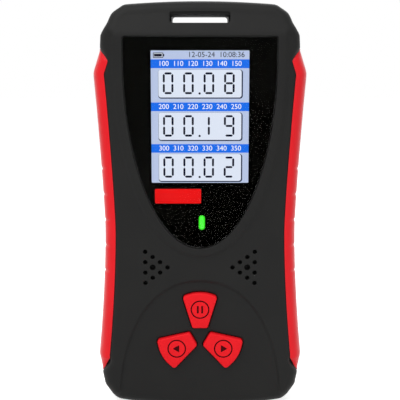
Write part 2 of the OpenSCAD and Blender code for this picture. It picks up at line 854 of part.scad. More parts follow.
front_case();
rear_case();
grip_left();
grip_right();
display_lens();
lens_tape();
lcd_gasket();
lcd_panel();
lcd_backlight();
lcd_flex();
light_pipe();
status_led();
main_board();
processor();
driver_chip();
counter_tube();
tube_cap_anode();
tube_cap_cathode();
tube_clip_left();
tube_clip_right();
tube_lead();
hv_transformer();
hv_capacitor();
hv_shield();
key_hold();
key_left();
key_right();
switch_hold();
switch_left();
switch_right();
plunger_hold();
plunger_left();
plunger_right();
buzzer();
dust_mesh_left();
dust_mesh_right();
battery_cell_1();
battery_cell_2();
battery_cell_3();
battery_spring_1();
battery_spring_2();
battery_spring_3();
battery_contact_1();
battery_contact_2();
battery_contact_3();
battery_door();
case_screws();
board_screws();
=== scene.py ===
import math

import bmesh
import bpy
import numpy as np
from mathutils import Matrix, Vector, kdtree
from mathutils.geometry import delaunay_2d_cdt


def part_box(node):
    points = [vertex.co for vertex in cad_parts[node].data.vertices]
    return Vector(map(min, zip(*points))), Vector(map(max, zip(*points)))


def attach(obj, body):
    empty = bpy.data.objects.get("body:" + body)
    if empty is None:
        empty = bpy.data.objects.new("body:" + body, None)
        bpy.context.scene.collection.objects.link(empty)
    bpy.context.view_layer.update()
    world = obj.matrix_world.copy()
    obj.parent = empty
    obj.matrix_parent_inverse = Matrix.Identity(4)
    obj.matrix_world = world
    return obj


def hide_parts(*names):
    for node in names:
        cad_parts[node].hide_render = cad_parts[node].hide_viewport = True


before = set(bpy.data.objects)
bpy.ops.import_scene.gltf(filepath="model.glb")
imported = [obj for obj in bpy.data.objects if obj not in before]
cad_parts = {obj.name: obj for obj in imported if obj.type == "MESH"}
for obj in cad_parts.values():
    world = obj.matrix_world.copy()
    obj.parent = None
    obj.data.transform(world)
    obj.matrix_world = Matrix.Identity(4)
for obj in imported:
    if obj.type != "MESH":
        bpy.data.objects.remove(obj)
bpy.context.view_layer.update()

# ---------------------------------------------------------------------------
# Front case half. An injection-moulded ABS shell with a spark-eroded finish,
# which carries the window, keys and board. A raised rim frames the window and
# runs up into a sloping brow, and the keypad lies in a shallow arch.
# ---------------------------------------------------------------------------
MM = 0.001
# The CAD nodes come with plain materials, renamed so that the finishes below can have their names
for imported in list(bpy.data.materials):
    imported.name = "cad_" + imported.name
top_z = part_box("front_case")[1].z / MM
rim_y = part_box("front_case")[0].y / MM
back_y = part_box("rear_case")[1].y / MM
rim_h = 1.0
face_y = rim_y + rim_h
split_y = back_y - 15.0
case_wall = 2.0
cavity_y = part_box("lcd_gasket")[0].y / MM
lens_low, lens_high = (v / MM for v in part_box("display_lens"))
lens_half = lens_high.x
lens_top = lens_high.z
arch_z = lens_top - 9.0
lens_drop = arch_z - lens_low.z
rim_half = lens_half + 4.9
rim_drop = lens_drop + 4.1

swell_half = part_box("grip_right")[1].x / MM
waist_half = 37.0
heel_half = 40.1
swell_z = top_z - 26.5
waist_z = 72.0
heel_z = 21.5
foot_half = 33.0
foot_rise = 2.3
brow_half = 28.5
brow_rise = 1.2
grip_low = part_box("grip_right")[0].z / MM
grip_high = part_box("grip_right")[1].z / MM


def smooth(v, low, high):
    """0 below low, 1 above high, and an S between them."""
    t = np.clip((np.asarray(v, float) - low) / (high - low), 0, 1)
    return t * t * (3 - 2 * t)


def side_half(z):
    """Half width of the case between its two swells."""
    up = waist_half + (swell_half - waist_half) * max(0, (z - waist_z) / (swell_z - waist_z)) ** 1.3
    down = waist_half + (heel_half - waist_half) * max(0, (waist_z - z) / (waist_z - heel_z)) ** 1.65
    return up if z > waist_z else down


def turn(a, b, c, r, n=6):
    """Points of a round corner of radius r at b, between a and c."""
    a, b, c = (np.array(p, float) for p in (a, b, c))
    u = (a - b) / np.linalg.norm(a - b)
    v = (c - b) / np.linalg.norm(c - b)
    half = math.acos(np.clip(u @ v, -1, 1)) / 2
    mid = b + (u + v) / np.linalg.norm(u + v) * r / math.sin(half)
    start, end = b + u * r / math.tan(half), b + v * r / math.tan(half)
    points = [start + (end - start) * i / n for i in range(n + 1)]
    return [tuple(mid + (p - mid) / np.linalg.norm(p - mid) * r) for p in points]


def bow(half, rise, n, reach):
    """Points of a shallow arc out to half, as (x, rise), for x under reach."""
    r = (half * half + rise * rise) / (2 * rise)
    xs = [half * i / n for i in range(n + 1)]
    return [(x, r - math.sqrt(r * r - x * x)) for x in xs if x < reach]


def case_outline():
    """The case's outline from the front, anticlockwise, as an array of (x, z)."""
    foot, heel_low = (foot_half, foot_rise), (38.0, 9.4)
    heel_in, heel_out = (38.1, 14.2), (heel_half + 0.1, heel_z - 1)
    swell_out = (swell_half + 0.05, swell_z)
    shoulder_in, shoulder = (37.6, top_z - 17.4), (37.3, top_z - 12.4)
    neck, brow_low = (34.75, top_z - 8.2), (33.2, top_z - 4.4)
    brow = (brow_half, top_z - brow_rise)
    right = bow(foot_half, foot_rise, 20, foot_half - 4)
    right += turn((0, 0), foot, heel_low, 4)
    right += turn(foot, heel_low, heel_in, 4)
    right += turn(heel_in, heel_out, (side_half(heel_z + 12), heel_z + 12), 6)
    right += [(side_half(z), z) for z in np.arange(heel_z + 7, swell_z - 9, 2.0)]
    right += turn((side_half(swell_z - 8), swell_z - 8), swell_out, shoulder_in, 6, 8)
    right += turn(swell_out, shoulder_in, shoulder, 4)
    right += turn(shoulder_in, shoulder, neck, 2.2)
    right += turn(shoulder, neck, brow_low, 4)
    right += turn(neck, brow_low, brow, 5)
    right += turn(brow_low, brow, (0, top_z), 2.5)
    right += [(x, top_z - rise) for x, rise in reversed(bow(brow_half, brow_rise, 20, brow_half - 2))]
    return np.array(right + [(-x, z) for x, z in right[-2:0:-1]])


def spread(loop, step):
    """A closed loop's points, about step apart, evenly along it."""
    ends = np.roll(loop, -1, 0)
    lengths = np.linalg.norm(ends - loop, axis=1)
    along = np.concatenate([[0], np.cumsum(lengths)])
    count = int(round(along[-1] / step))
    at = np.arange(count) * along[-1] / count
    closed = np.vstack([loop, loop[:1]])
    return np.stack([np.interp(at, along, closed[:, 0]), np.interp(at, along, closed[:, 1])], 1)


def inward(loop):
    """Unit normals of an anticlockwise loop, pointing into it, smoothed along it."""
    t = np.roll(loop, -1, 0) - np.roll(loop, 1, 0)
    n = np.stack([-t[:, 1], t[:, 0]], 1)
    n = (np.roll(n, 2, 0) + np.roll(n, 1, 0) + n + np.roll(n, -1, 0) + np.roll(n, -2, 0))
    return n / np.linalg.norm(n, axis=1)[:, None]


def window_loop(grow=0.0, corner=1.0, n=60):
    """Outline of the display window, grown by grow: straight sides over half an ellipse."""
    half, drop, top = lens_half + grow, lens_drop + grow, lens_top + grow
    down = [(-half * math.cos(math.pi * i / n), arch_z - drop * math.sin(math.pi * i / n))
            for i in range(n + 1)]
    right = turn((half, arch_z), (half, top), (0, top), corner, 4)
    left = turn((0, top), (-half, top), (-half, arch_z), corner, 4)
    return np.array(down + right + left)


def box_loop(x, z, w, h, r, n=5):
    """A rectangle round (x, z) with round corners."""
    c = [(x - w / 2, z - h / 2), (x + w / 2, z - h / 2), (x + w / 2, z + h / 2), (x - w / 2, z + h / 2)]
    return np.array(sum((turn(c[i - 1], c[i], c[(i + 1) % 4], r, n) for i in range(4)), []))


def ring_loop(x, z, r, n=20):
    """A circle round (x, z)."""
    return np.array([(x + r * math.cos(2 * math.pi * i / n), z + r * math.sin(2 * math.pi * i / n))
                     for i in range(n)])


# Keys stand at 120 degrees round the keypad's middle, each a wedge with a round outer edge
keypad_z = 30.0
keypad_r = 17.0
key_inner = 2.95
key_slope = math.tan(math.radians(17))
key_turns = {"hold": 0.0, "left": 240.0, "right": 120.0}


def key_loop(which, grow=0.0, corner=0.9):
    """Outline of one key as the front shows it, grown by grow."""
    r = keypad_r + grow
    side = lambda u: key_inner + (u - key_inner) * key_slope + grow * math.hypot(1, key_slope)
    low = key_inner - grow
    v = side(r * math.cos(math.asin(side(r - 1.4) / r)))
    a = math.asin(v / r)
    inner = [(-side(low), low), (side(low), low)]
    arc = [(r * math.sin(t), r * math.cos(t)) for t in np.linspace(a, -a, 15)]
    c = max(0.3, corner + grow)
    rounder = 1.35
    pts = (turn(arc[-1], inner[0], inner[1], c, 4) + turn(inner[0], inner[1], arc[0], c, 4)
           + turn(inner[1], arc[0], arc[4], c * rounder, 5) + arc[4:-4]
            + turn(arc[-5], arc[-1], inner[0], c * rounder, 5))
    t = math.radians(key_turns[which])
    return np.array([(u * math.cos(t) + w * math.sin(t), keypad_z - u * math.sin(t) + w * math.cos(t))
                     for u, w in pts])


# Sound holes: a triangle of holes on each side, the middle one larger
sound_x, sound_z = 21.1, 57.1
column_pitch, hole_pitch = 2.85, 4.1
sound_holes = [(side * (sound_x - k * column_pitch), sound_z + (j - (3 - k) / 2) * hole_pitch,
                1.15 if (k, j) == (1, 1) else 0.85)
               for side in (-1, 1) for k in range(4) for j in range(4 - k)]
slot_z = top_z - 6.1
slot_w, slot_h = 22.2, 4.3
screen_z = top_z - 43.1
screen_w, screen_h = 36.8, 49.6
led_x, led_z = 0.7, top_z - 83.4
recess_half, recess_top, recess_d = 32.0, 52.4, 1.0
brow_z = lens_top + 0.5
brow_fall = 4.4 / (top_z - brow_z)


def arch_value(x, z, half, drop, power):
    """Under 1 inside a superellipse centred on the origin, over 1 outside."""
    return ((np.abs(x) / half) ** power + (np.abs(z) / drop) ** power) ** (1 / power)


rim_crest, rim_foot = 0.62, 0.97
recess_shore = 0.968


def front_face(x, z):
    """Depth of the front face at each (x, z)."""
    x, z = np.asarray(x, float), np.asarray(z, float)
    hang = np.minimum(z - arch_z, 0)
    inner = arch_value(x, hang, lens_half, lens_drop, 2.0) - 1
    outer = 1 - arch_value(x, hang, rim_half, rim_drop, 2.1)
    across = np.clip(inner, 0, None) / np.maximum(np.clip(inner, 0, None) + np.maximum(outer, 0), 1e-6)
    rise = np.where(outer > 0, rim_h * (1 - smooth(across, rim_crest, rim_foot)), 0)
    y = face_y - rise
    recess = arch_value(x, z, recess_half, recess_top, 2.2)
    y = y + recess_d * (1 - smooth(recess, recess_shore, 1.0))
    slope = rim_y + (z - brow_z) * brow_fall
    near = 0.5
    return np.maximum(y, slope) + near / 4 * np.maximum(0, 1 - np.abs(y - slope) / near) ** 2


class Skin:
    """A moulded part's surface: rings of points joined by bands, and flat or curved fills."""

    def __init__(self):
        self.points, self.faces, self.slots = [], [], []

    def ring(self, loop, depth):
        """Adds a loop of (x, z) at a depth, or at one depth for each point."""
        start = len(self.points)
        depths = np.broadcast_to(np.asarray(depth, float), (len(loop),))
        self.points += [(x, y, z) for (x, z), y in zip(loop, depths)]
        return list(range(start, len(self.points)))

    def band(self, a, b, slot=0):
        """Joins two rings of equal length."""
        n = len(a)
        for i in range(n):
            j = (i + 1) % n
            self.faces.append((a[i], a[j], b[j], b[i]))
            self.slots.append(slot)

    def stack(self, rings, slot=0):
        for a, b in zip(rings, rings[1:]):
            self.band(a, b, slot)

    def fill(self, edge, holes=(), step=None, depth=None, slot=0, rows=()):
        """Fills between an outer ring and hole rings, with points step apart at depth(x, z)."""
        rings = [edge, *holes]
        flat = lambda ring: np.array([(self.points[i][0], self.points[i][2]) for i in ring])
        loops = [flat(r) for r in rings]
        index = [i for r in rings for i in r]
        coords = [tuple(p) for loop in loops for p in loop]
        edges, start = [], 0
        for r in rings:
            edges += [(start + i, start + (i + 1) % len(r)) for i in range(len(r))]
            start += len(r)
        if step:
            tree = kdtree.KDTree(len(coords) + sum(len(r) for r in rows))
            extra = [p for row in rows for p in row]
            inside = within(np.array(extra), loops) if extra else []
            kept = []
            for p in coords:
                tree.insert((p[0], p[1], 0), 0)
            tree.balance()
            for p, ok in zip(extra, inside):
                if ok and tree.find((p[0], p[1], 0))[2] > step * 0.35:
                    kept.append(tuple(p))
            crowd = kdtree.KDTree(len(coords) + len(kept))
            for p in coords + kept:
                crowd.insert((p[0], p[1], 0), 0)
            crowd.balance()
            low, high = loops[0].min(0), loops[0].max(0)
            xs, zs = np.arange(low[0], high[0], step), np.arange(low[1], high[1], step * 0.866)
            grid = np.array([(x + (k % 2) * step / 2, z) for k, z in enumerate(zs) for x in xs])
            grid = grid[within(grid, loops)]
            kept += [tuple(p) for p in grid if crowd.find((p[0], p[1], 0))[2] > step * 0.6]
            base = len(self.points)
            ys = depth(np.array([p[0] for p in kept]), np.array([p[1] for p in kept]))
            self.points += [(p[0], y, p[1]) for p, y in zip(kept, ys)]
            index += range(base, len(self.points))
            coords += kept
        made = delaunay_2d_cdt([Vector(c) for c in coords], edges, [], 0, 1e-6, True)
        source = [index[ids[0]] if ids else None for ids in made[3]]
        where = np.array([tuple(v) for v in made[0]])
        triangles = np.array([f for f in made[2]])
        keep = within(where[triangles].mean(1), loops)
        for f in triangles[keep]:
            corners = [source[i] for i in f]
            if None not in corners:
                self.faces.append(tuple(corners))
                self.slots.append(slot)

    def build(self, name, materials, sharp=35.0):
        mesh = bpy.data.meshes.new(name)
        mesh.from_pydata([tuple(c * MM for c in p) for p in self.points], [], self.faces)
        mesh.polygons.foreach_set("material_index", self.slots)
        for m in materials:
            mesh.materials.append(m)
        work = bmesh.new()
        work.from_mesh(mesh)
        bmesh.ops.remove_doubles(work, verts=work.verts, dist=1e-7)
        loose = [v for v in work.verts if not v.link_faces]
        bmesh.ops.delete(work, geom=loose, context="VERTS")
        bmesh.ops.recalc_face_normals(work, faces=work.faces)
        work.to_mesh(mesh)
        work.free()
        mesh.shade_smooth()
        mesh.set_sharp_from_angle(angle=math.radians(sharp))
        piece = bpy.data.objects.new(name, mesh)
        bpy.context.scene.collection.objects.link(piece)
        return piece


def within(points, loops):
    """True for each point inside the first loop and outside the others."""
    if len(points) == 0:
        return np.zeros(0, bool)
    result = np.zeros(len(points), bool)
    x, z = points[:, 0], points[:, 1]
    for loop in loops:
        nxt = np.roll(loop, -1, 0)
        for (x0, z0), (x1, z1) in zip(loop, nxt):
            if z0 != z1:
                crosses = (z0 > z) != (z1 > z)
                result ^= crosses & (x < (x1 - x0) * (z - z0) / (z1 - z0) + x0)
    return result


def material(name):
    """A new node material, its tree and its shader."""
    made = bpy.data.materials.new(name)
    made.use_nodes = True
    return made, made.node_tree, made.node_tree.nodes["Principled BSDF"]


def srgb(r, g, b):
    """A colour given as it looks on screen, 0 to 255, in the shader's linear values."""
    return tuple((c / 12.92 if c <= 0.04045 else ((c + 0.055) / 1.055) ** 2.4)
                 for c in (r / 255, g / 255, b / 255)) + (1.0,)


def grain(tree, shader, scale, depth, detail=3.0):
    """Fine moulded texture: noise through a bump node."""
    place = tree.nodes.new("ShaderNodeTexCoord")
    noise = tree.nodes.new("ShaderNodeTexNoise")
    noise.inputs["Scale"].default_value = scale
    noise.inputs["Detail"].default_value = detail
    bump = tree.nodes.new("ShaderNodeBump")
    bump.inputs["Strength"].default_value = 1.0
    bump.inputs["Distance"].default_value = depth
    tree.links.new(place.outputs["Object"], noise.inputs["Vector"])
    tree.links.new(noise.outputs["Fac"], bump.inputs["Height"])
    tree.links.new(bump.outputs["Normal"], shader.inputs["Normal"])
    return place


def drift(tree, place, target, low, high, scale):
    """Slow variation of a colour or a roughness over the surface."""
    noise = tree.nodes.new("ShaderNodeTexNoise")
    noise.inputs["Scale"].default_value = scale
    noise.inputs["Detail"].default_value = 2.0
    mix = tree.nodes.new("ShaderNodeMapRange" if isinstance(low, float) else "ShaderNodeMix")
    tree.links.new(place.outputs["Object"], noise.inputs["Vector"])
    if isinstance(low, float):
        mix.inputs["To Min"].default_value = low
        mix.inputs["To Max"].default_value = high
        tree.links.new(noise.outputs["Fac"], mix.inputs["Value"])
        tree.links.new(mix.outputs["Result"], target)
    else:
        mix.data_type = "RGBA"
        mix.inputs["A"].default_value = low
        mix.inputs["B"].default_value = high
        tree.links.new(noise.outputs["Fac"], mix.inputs["Factor"])
        tree.links.new(mix.outputs["Result"], target)


def case_plastic():
    made, tree, shader = material("case_plastic")
    place = grain(tree, shader, 2600.0, 0.00003)
    drift(tree, place, shader.inputs["Base Color"], srgb(30, 30, 30), srgb(36, 36, 35), 60.0)
    drift(tree, place, shader.inputs["Roughness"], 0.46, 0.56, 140.0)
    shader.inputs["Specular IOR Level"].default_value = 0.12
    return made


# Levels of the case's edge: how far in from the outline, and how deep behind the face.
# One set rounds the bare edge, the other steps down into the seat of a side grip.
grip_band = 4.6
edge_r = 4.0
edge_n = 7
bare_edge = [(edge_r * (1 - math.sin(a)), edge_r * (1 - math.cos(a)))
             for a in (math.pi / 2 * i / (edge_n - 1) for i in range(edge_n))]
seat_edge = [(grip_band + 1.3, 0.0), (grip_band + 0.6, 0.22), (grip_band + 0.15, 0.7),
             (grip_band - 0.1, 1.4), (grip_band - 0.6, 2.4), (3.2, 3.6), (2.5, 5.5)]
outline = spread(case_outline(), 1.1)
normals = inward(outline)
covered = smooth(outline[:, 1], grip_low - 1.0, grip_low + 4.0) * (
    1 - smooth(outline[:, 1], grip_high - 4.0, grip_high + 1.0)) * (np.abs(outline[:, 0]) > 34)


def edge_loop(level):
    """The outline moved in to one of the edge's levels, with that level's depth behind the face."""
    bare, seat = bare_edge[level], seat_edge[level]
    d = bare[0] + (seat[0] - bare[0]) * covered
    return outline + normals * d[:, None], bare[1] + (seat[1] - bare[1]) * covered


def open_hole(skin, loop_at, face, r, bottom):
    """Rolls a face's edge into a hole and down its wall. Returns the rings at face and bottom."""
    rings = []
    for a in (0, 30, 60, 90):
        s, c = math.sin(math.radians(a)), math.cos(math.radians(a))
        loop = loop_at(r * (1 - s))
        rings.append(skin.ring(loop, face(loop[:, 0], loop[:, 1]) + r * (1 - c)))
    rings.append(skin.ring(loop_at(0), bottom))
    skin.stack(rings)
    return rings[0], rings[-1]


def front_case():
    skin = Skin()
    loop, _ = edge_loop(0)
    base = front_face(loop[:, 0], loop[:, 1])
    rings = []
    for level in range(edge_n):
        loop, depth = edge_loop(level)
        rings.append(skin.ring(loop, base + depth))
    lip = 0.15
    rings.append(skin.ring(loop, split_y - lip))
    rings.append(skin.ring(loop + normals * lip, split_y))
    rings.append(skin.ring(loop + normals * case_wall, split_y))
    deep = outline + normals * 5.0
    rings.append(skin.ring(deep, split_y - 2.0))
    rings.append(skin.ring(deep, cavity_y))
    skin.stack(rings)
    ledge_y = lens_high.y + 0.15
    mouths, floors = [], []
    slot_top, slot_end = open_hole(
        skin, lambda g: box_loop(0, slot_z, slot_w + 2 * g, slot_h + 2 * g, 1.2 + g), front_face, 0.5,
        cavity_y)
    mouths.append(slot_top)
    floors.append(slot_end)
    pocket_top, pocket_floor = open_hole(
        skin, lambda g: window_loop(0.12 + g), front_face, 0.25, ledge_y)
    mouths.append(pocket_top)
    for which in key_turns:
        top, end = open_hole(skin, lambda g: key_loop(which, 0.35 + g), front_face, 0.3, cavity_y)
        mouths.append(top)
        floors.append(end)
    for x, z, r in sound_holes:
        top, end = open_hole(skin, lambda g: ring_loop(x, z, r + g), front_face, 0.15, cavity_y)
        mouths.append(top)
        floors.append(end)
    # Ledge under the window, with the openings for the display and the indicator
    aperture = box_loop(0, screen_z, screen_w + 2.8, screen_h + 2.8, 0.5)
    pipe = box_loop(led_x, led_z, 2.6, 6.0, 1.25)
    seats = []
    for loop in (aperture, pipe):
        seats.append(skin.ring(loop, ledge_y))
        floors.append(skin.ring(loop, cavity_y))
        skin.band(seats[-1], floors[-1])
    skin.fill(pocket_floor, seats)
    # Rows of points that follow the rim, the recess and the brow
    rows = []
    for g in np.arange(0.6, 6.6, 0.5):
        rows.append(window_loop(g, 1.0, 150))
    for s in np.arange(0.95, 1.013, 0.008):
        a = np.linspace(0, math.pi, 150)
        rows.append(np.stack([recess_half * s * np.sign(np.cos(a)) * np.abs(np.cos(a)) ** (2 / 2.2),
                              recess_top * s * np.abs(np.sin(a)) ** (2 / 2.2)], 1))
    for z in np.arange(brow_z - 1.0, brow_z + 1.5, 0.35):
        rows.append(np.stack([np.linspace(-38, 38, 110), np.full(110, z)], 1))
    skin.fill(rings[0], mouths, step=0.9, depth=front_face, rows=rows)
    skin.fill(rings[-1], floors)
    piece = skin.build("front_shell", [case_plastic()])
    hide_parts("front_case")
    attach(piece, "housing")


front_case()

# ---------------------------------------------------------------------------
# Side grips. Soft red thermoplastic rubber, pressed round each side of the
# closed case: a round-backed channel that thins to a point at both ends, with
# shallow notches across it where the fingers lie.
# ---------------------------------------------------------------------------
notch_zs = [55 + 10 * i for i in range(5)]


def grip_rubber():
    made, tree, shader = material("grip_rubber")
    place = grain(tree, shader, 3200.0, 0.00002, 2.0)
    drift(tree, place, shader.inputs["Base Color"], srgb(234, 18, 30), srgb(242, 26, 38), 90.0)
    drift(tree, place, shader.inputs["Roughness"], 0.42, 0.5, 200.0)
    shader.inputs["Specular IOR Level"].default_value = 0.2
    shader.inputs["Sheen Weight"].default_value = 0.6
    shader.inputs["Sheen Roughness"].default_value = 0.35
    return made


def grip_section(z):
    """The grip's outer section at height z: how far in from the outline, and the depth."""
    near = min(1.0, (z - grip_low) / 5.5, (grip_high - z) / 3.0)
    band = max(0.05, grip_band * max(0.0, near) ** 0.8)
    notch = sum(math.exp(-((z - n) / 0.55) ** 2) for n in notch_zs) * 0.35
    fade = 1 - min(1.0, max(0.0, near))
    bulge = 6.2 - 3.4 * fade
    start = face_y + 0.55 + 3.4 * fade
    angles = [math.radians(a) for a in np.linspace(0, 90, 10)]
    front = [(band * (1 - math.sin(a)), start + bulge * (1 - math.cos(a))) for a in angles]
    back_start = back_y - 0.05 - 3.9 * fade
    rear = [(d, back_start - (y - start) * 0.9) for d, y in reversed(front)]
    bite = lambda d: notch * smooth(grip_band - d, 0.8, 3.4)
    outer = [(d + bite(d), y) for d, y in front + rear]
    roll = 0.25
    inner_front = [(band + 0.02, start + 1.6), (band, start + roll), (band - roll * 0.4, start + 0.05)]
    inner_back = [(band - roll * 0.4, back_start - 0.05), (band, back_start - roll),
                  (band + 0.02, back_start - 1.6)]
    core = [(min(band + 0.02, 2.2) - 0.0, back_start - 3.4), (min(band + 0.02, 2.2), start + 3.4)]
    return inner_front + outer + inner_back + core


def side_grip(name, side):
    skin = Skin()
    rows = []
    right = outline[: len(outline) // 2 + 1]
    zs = np.concatenate([np.linspace(grip_low, grip_low + 6, 16)[:-1],
                         np.arange(grip_low + 6, grip_high - 12, 0.55),
                         np.linspace(grip_high - 12, grip_high, 40)])
    order = np.argsort(right[:, 1])
    keep = [i for i in order if right[i, 0] > 34]
    edge_zs, edge_xs = right[keep, 1], right[keep, 0]
    nx, nz = normals[keep, 0], normals[keep, 1]
    for z in zs:
        x = np.interp(z, edge_zs, edge_xs)
        vx, vz = np.interp(z, edge_zs, nx), np.interp(z, edge_zs, nz)
        vz *= float(smooth(z, grip_low, grip_low + 3) * (1 - smooth(z, grip_high - 3, grip_high)))
        start = len(skin.points)
        skin.points += [(side * (x + vx * d), y, z + vz * d) for d, y in grip_section(z)]
        rows.append(list(range(start, len(skin.points))))
    skin.stack(rows)
    for end in (rows[0], rows[-1]):
        skin.faces.append(tuple(end))
        skin.slots.append(0)
    piece = skin.build(name + "_rubber", [bpy.data.materials.get("grip_rubber") or grip_rubber()], 50.0)
    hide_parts(name)
    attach(piece, "housing")


side_grip("grip_right", 1)
side_grip("grip_left", -1)

# ---------------------------------------------------------------------------
# Rear case half. The same plastic: a plain flat back with rounded edges, deep
# screw holes, the lanyard slot, and the bay and grooves of the battery door.
# ---------------------------------------------------------------------------


def finish(name, low, high, roughness, metallic=0.0, patch=80.0, grit=1800.0, depth=0.00001):
    """A node material whose colour drifts between two values, with fine grit in its surface."""
    if name in bpy.data.materials:
        return bpy.data.materials[name]
    made, tree, shader = material(name)
    place = grain(tree, shader, grit, depth)
    drift(tree, place, shader.inputs["Base Color"], srgb(*low), srgb(*high), patch)
    drift(tree, place, shader.inputs["Roughness"], roughness * 0.9, min(1.0, roughness * 1.12), patch * 2)
    shader.inputs["Metallic"].default_value = metallic
    return made


def dress(nodes, made, round_edges=0.0):
    """Gives CAD nodes their finish, and rounds their edges by a width in millimetres."""
    for name in nodes:
        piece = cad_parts[name]
        piece.data.materials.clear()
        piece.data.materials.append(made)
        if round_edges:
            bevel = piece.modifiers.new("rounded_edges", "BEVEL")
            bevel.width = round_edges * MM
            bevel.segments = 2
            bevel.limit_method = "ANGLE"
            bevel.angle_limit = math.radians(40)


dress(["rear_case"], bpy.data.materials["case_plastic"])

# ---------------------------------------------------------------------------
# Window. A clear acrylic plate with a polished edge, printed black behind but
# for the display and the indicator, and taped into the front case's pocket.
# ---------------------------------------------------------------------------


def window_acrylic():
    made, tree, shader = material("window_acrylic")
    place = grain(tree, shader, 60.0, 0.0000005)
    drift(tree, place, shader.inputs["Roughness"], 0.0, 0.02, 30.0)
    drift(tree, place, shader.inputs["Base Color"], srgb(252, 253, 253), srgb(255, 255, 255), 20.0)
    shader.inputs["Transmission Weight"].default_value = 1.0
    shader.inputs["IOR"].default_value = 1.06
    return made


def window():
    skin = Skin()
    edge = 0.3
    rings = [skin.ring(window_loop(-edge * (1 - math.sin(a))), lens_low.y + edge * (1 - math.cos(a)))
             for a in (0, math.pi / 6, math.pi / 3, math.pi / 2)]
    rings.append(skin.ring(window_loop(0), lens_high.y - 0.3))
    skin.stack(rings)
    skin.fill(rings[0])
    skin.fill(rings[-1])
    piece = skin.build("window_plate", [window_acrylic()])
    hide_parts("display_lens")
    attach(piece, "housing")


def window_print():
    skin = Skin()
    y = lens_high.y - 0.06
    outer = skin.ring(window_loop(-0.25), y)
    holes = [skin.ring(box_loop(0, screen_z, screen_w, screen_h, 0.3), y),
             skin.ring(box_loop(led_x, led_z, 2.4, 5.8, 1.15, 8), y)]
    skin.fill(outer, holes)
    dark_mark = finish("print_black", (3, 3, 2), (5, 5, 4), 0.6, depth=0.000002)
    dark_mark.node_tree.nodes["Principled BSDF"].inputs["Specular IOR Level"].default_value = 0.0
    piece = skin.build("window_ink", [dark_mark])
    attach(piece, "housing")


window()
window_print()
foam = finish("foam_black", (18, 18, 18), (26, 26, 26), 0.95, grit=4000.0, depth=0.00005)
dress(["lens_tape", "lcd_gasket"], foam)

# ---------------------------------------------------------------------------
# Badge place. A bare red plate behind the window, under the display.
# ---------------------------------------------------------------------------
badge_x, badge_z = -8.4, 84.7
badge_w, badge_h = 17.6, 5.6


def badge():
    skin = Skin()
    y = lens_high.y - 0.08
    loops = [(box_loop(badge_x, badge_z, badge_w - 2 * g, badge_h - 2 * g, 0.5), y - d)
             for g, d in ((0, 0), (0.12, 0.012))]
    rings = [skin.ring(loop, depth) for loop, depth in loops]
    skin.stack(rings)
    skin.fill(rings[-1])
    red = finish("badge_red", (206, 6, 8), (214, 10, 10), 0.35, depth=0.000004)
    red.node_tree.nodes["Principled BSDF"].inputs["Specular IOR Level"].default_value = 0.05
    piece = skin.build("badge_plate", [red])
    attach(piece, "housing")


badge()

# ---------------------------------------------------------------------------
# Display. A lit colour LCD in a glass panel over its backlight, with a flex
# cable to the board. It shows a status line and three boxed readings, each
# under a blue bar.
# ---------------------------------------------------------------------------
screen_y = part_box("lcd_panel")[0].y / MM


def lit(name, low, high):
    """A glowing colour of the display, with the display's fine grid of cells in it."""
    made, tree, shader = material(name)
    place = tree.nodes.new("ShaderNodeTexCoord")
    cells = tree.nodes.new("ShaderNodeTexNoise")
    cells.inputs["Scale"].default_value = 3000.0
    mix = tree.nodes.new("ShaderNodeMix")
    mix.data_type = "RGBA"
    mix.inputs["A"].default_value = srgb(*low)
    mix.inputs["B"].default_value = srgb(*high)
    tree.links.new(place.outputs["Object"], cells.inputs["Vector"])
    tree.links.new(cells.outputs["Fac"], mix.inputs["Factor"])
    tree.links.new(mix.outputs["Result"], shader.inputs["Emission Color"])
    shader.inputs["Base Color"].default_value = srgb(6, 6, 8)
    shader.inputs["Emission Strength"].default_value = 1.0
    shader.inputs["Roughness"].default_value = 0.4
    shader.inputs["Specular IOR Level"].default_value = 0.0
    return made


SKY, PALE, BLUE, SHADE, NAVY, WHITE = range(6)
SEGMENTS = {"0": "abcdef", "1": "ij", "2": "abged", "3": "abgcd", "4": "fgbc", "5": "afgcd",
            "6": "afgedc", "7": "abc", "8": "abcdefg", "9": "abcdfg"}


def segment_digit(skin, digit, x, z, w, h, stroke, y):
    """One digit made of bevelled strokes, centred on (x, z)."""
    s, gap = stroke / 2, stroke * 0.25
    half, mid = w / 2 - s, h / 2 - s
    spots = {"a": ((-half, mid), (half, mid)), "g": ((-half, 0), (half, 0)),
             "d": ((-half, -mid), (half, -mid)),
             "f": ((-half, 0), (-half, mid)), "b": ((half, 0), (half, mid)),
             "e": ((-half, -mid), (-half, 0)), "c": ((half, -mid), (half, 0)),
             "i": ((0, 0), (0, mid)), "j": ((0, -mid), (0, 0))}
    for name in SEGMENTS[digit]:
        (x0, z0), (x1, z1) = spots[name]
        dx, dz = (1, 0) if z0 == z1 else (0, 1)
        a = np.array([x0 + dx * gap, z0 + dz * gap])
        b = np.array([x1 - dx * gap, z1 - dz * gap])
        along, side = np.array([dx, dz]) * s, np.array([-dz, dx]) * s
        loop = np.array([a, a + along - side, b - along - side, b, b - along + side, a + along + side])
        skin.fill(skin.ring(loop + (x, z), y), slot=NAVY)


def number(skin, text, x, z, h, slot, y):
    """A small number in Blender's built-in typeface, centred on (x, z)."""
    curve = bpy.data.curves.new("number", "FONT")
    curve.body = text
    curve.size = h * 1.4
    curve.align_x = "CENTER"
    curve.align_y = "CENTER"
    carrier = bpy.data.objects.new("number", curve)
    mesh = bpy.data.meshes.new_from_object(carrier)
    start = len(skin.points)
    skin.points += [(x + v.co.x, y, z + v.co.y) for v in mesh.vertices]
    for f in mesh.polygons:
        skin.faces.append(tuple(start + i for i in f.vertices))
        skin.slots.append(slot)
    bpy.data.objects.remove(carrier)
    bpy.data.meshes.remove(mesh)
    bpy.data.curves.remove(curve)


